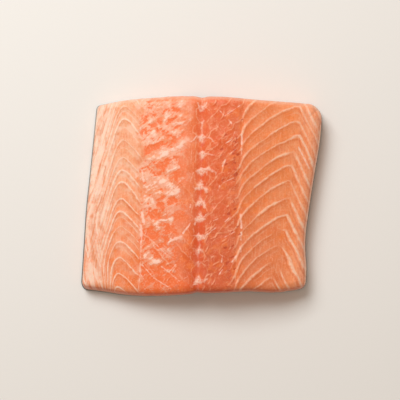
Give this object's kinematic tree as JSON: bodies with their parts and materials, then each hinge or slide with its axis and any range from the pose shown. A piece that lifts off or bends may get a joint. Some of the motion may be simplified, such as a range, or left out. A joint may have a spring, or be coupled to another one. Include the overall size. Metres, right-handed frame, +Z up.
{
  "type": "raw salmon fillet",
  "caption": "Raw salmon fillet, a skin-on centre cut with a thick back and a thin belly, lying skin down.",
  "frame": {"origin": "under the middle of the piece, on the surface that it lies on", "axes": "+X from the belly edge to the back edge, across the fish; +Y along the fish, from the front cut to the rear cut; +Z up out of the flesh side"},
  "size_m": [0.1502, 0.1244, 0.026],
  "materials": {
    "flesh": "moist raw salmon flesh, orange with pale fat lines",
    "skin": "scaled fish skin, dark grey to silver, moist"
  },
  "bodies": {
    "root": {"flesh": "flesh", "skin": "skin"}
  },
  "joints": []
}
